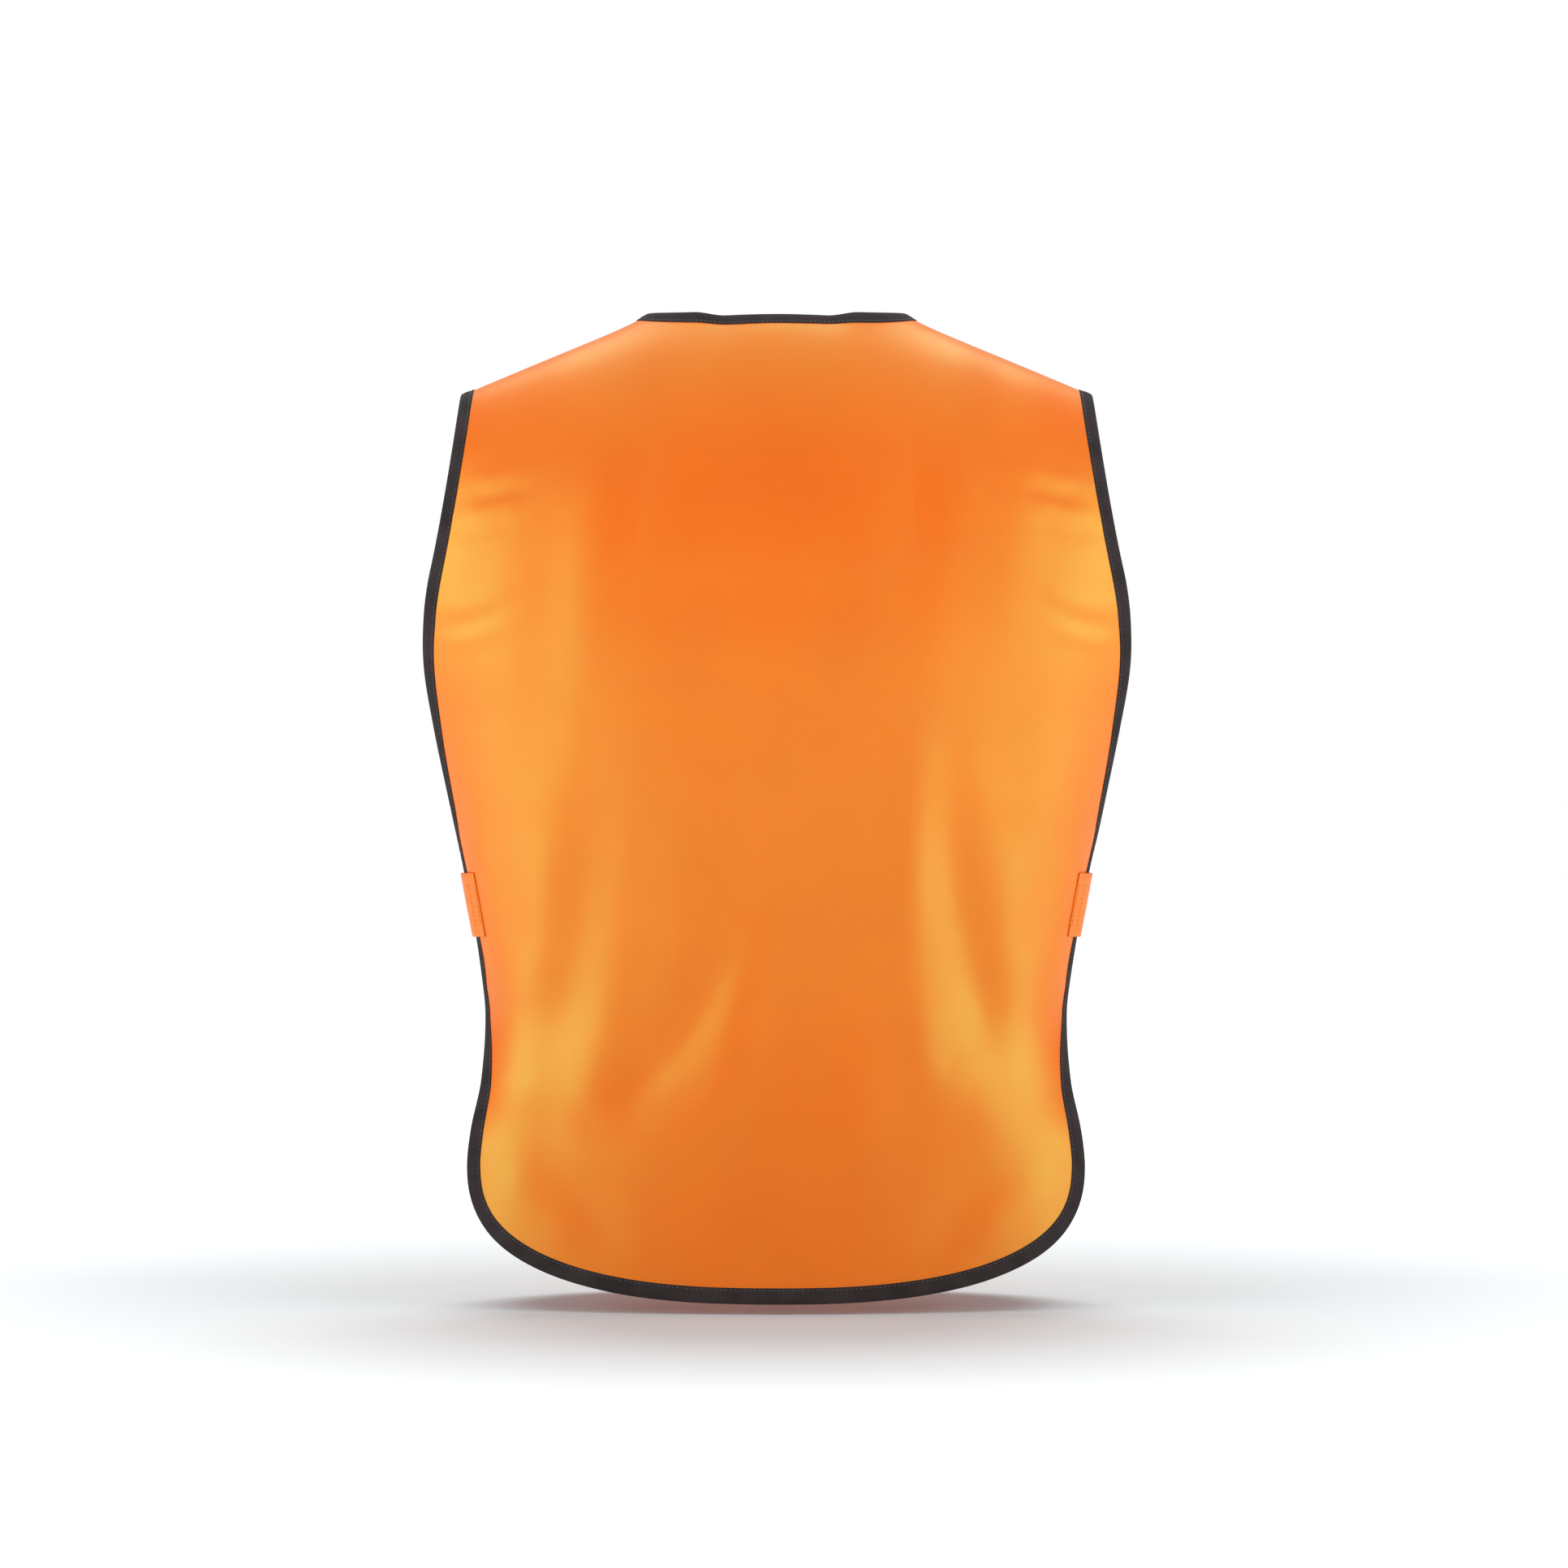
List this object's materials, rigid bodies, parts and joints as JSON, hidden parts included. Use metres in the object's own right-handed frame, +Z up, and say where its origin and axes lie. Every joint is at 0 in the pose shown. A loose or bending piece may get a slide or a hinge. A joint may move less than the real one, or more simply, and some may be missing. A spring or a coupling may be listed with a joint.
{
  "type": "blaze orange vest",
  "caption": "Sleeveless blaze orange overlay vest with a V neck, zip front, dark bound edges, rounded drop-tail back and hook-and-loop side tabs, shaped as worn.",
  "frame": {"origin": "midway between the two neck points, where the shoulder seams meet the neckline", "axes": "+Z up the body, +X to the wearer's left, -Y the way the wearer faces"},
  "size_m": [0.4726, 0.2325, 0.6584],
  "materials": {
    "shell_cloth": "smooth woven polyester with a soft sheen",
    "binding": "matte ribbed binding tape",
    "zip_tape": "matte woven tape",
    "zip_plastic": "moulded, satin",
    "hook_and_loop": "napped",
    "slider_metal": "satin black"
  },
  "bodies": {
    "vest": {"back_panel": "shell_cloth", "left_front_side_panel": "shell_cloth", "right_front_side_panel": "shell_cloth", "neck_binding": "binding", "left_armhole_binding": "binding", "right_armhole_binding": "binding", "back_hem_binding": "binding", "left_front_side_binding": "binding", "right_front_side_binding": "binding", "left_loop_patch": "hook_and_loop", "right_loop_patch": "hook_and_loop", "left_shoulder_tape": "shell_cloth", "right_shoulder_tape": "shell_cloth"},
    "left_front": {"left_front_panel": "shell_cloth", "left_vee_binding": "binding", "left_front_hem_binding": "binding", "left_zip_tape": "zip_tape", "left_zip_teeth": "zip_plastic", "left_top_stop": "zip_plastic", "zip_insertion_pin": "zip_plastic"},
    "right_front": {"right_front_panel": "shell_cloth", "right_vee_binding": "binding", "right_front_hem_binding": "binding", "right_zip_tape": "zip_tape", "right_zip_teeth": "zip_plastic", "right_top_stop": "zip_plastic", "zip_retainer_pin": "zip_plastic", "zip_retainer_box": "zip_plastic"},
    "slider": {"zip_slider": "slider_metal"},
    "pull": {"zip_pull_tab": "slider_metal"},
    "left_tab": {"left_side_tab": "shell_cloth", "left_hook_patch": "hook_and_loop"},
    "right_tab": {"right_side_tab": "shell_cloth", "right_hook_patch": "hook_and_loop"}
  },
  "joints": [
    {"name": "left_front_swing", "type": "hinge", "parent": "vest", "child": "left_front", "pos_m": [0.12344, -0.10899, -0.63069], "axis": [-0.1286, -0.0145, 0.9916], "range_deg": [0, 100]},
    {"name": "right_front_swing", "type": "hinge", "parent": "vest", "child": "right_front", "pos_m": [-0.12344, -0.10899, -0.63069], "axis": [-0.1286, 0.0145, -0.9916], "range_deg": [0, 100]},
    {"name": "zip_slide", "type": "slide", "parent": "right_front", "child": "slider", "axis": [0, 0, 1], "range_m": [0, 0.409]},
    {"name": "pull_swing", "type": "hinge", "parent": "slider", "child": "pull", "pos_m": [-0.00385, -0.1182, -0.6116], "axis": [-1, 0, 0], "range_deg": [0, 150]},
    {"name": "left_tab_peel", "type": "hinge", "parent": "vest", "child": "left_tab", "pos_m": [0.20364, 0.01063, -0.4126], "axis": [0.1822, 0.0004, 0.9833], "range_deg": [0, 90]},
    {"name": "right_tab_peel", "type": "hinge", "parent": "vest", "child": "right_tab", "pos_m": [-0.20364, 0.01063, -0.4126], "axis": [0.1822, -0.0004, -0.9833], "range_deg": [0, 90]}
  ]
}
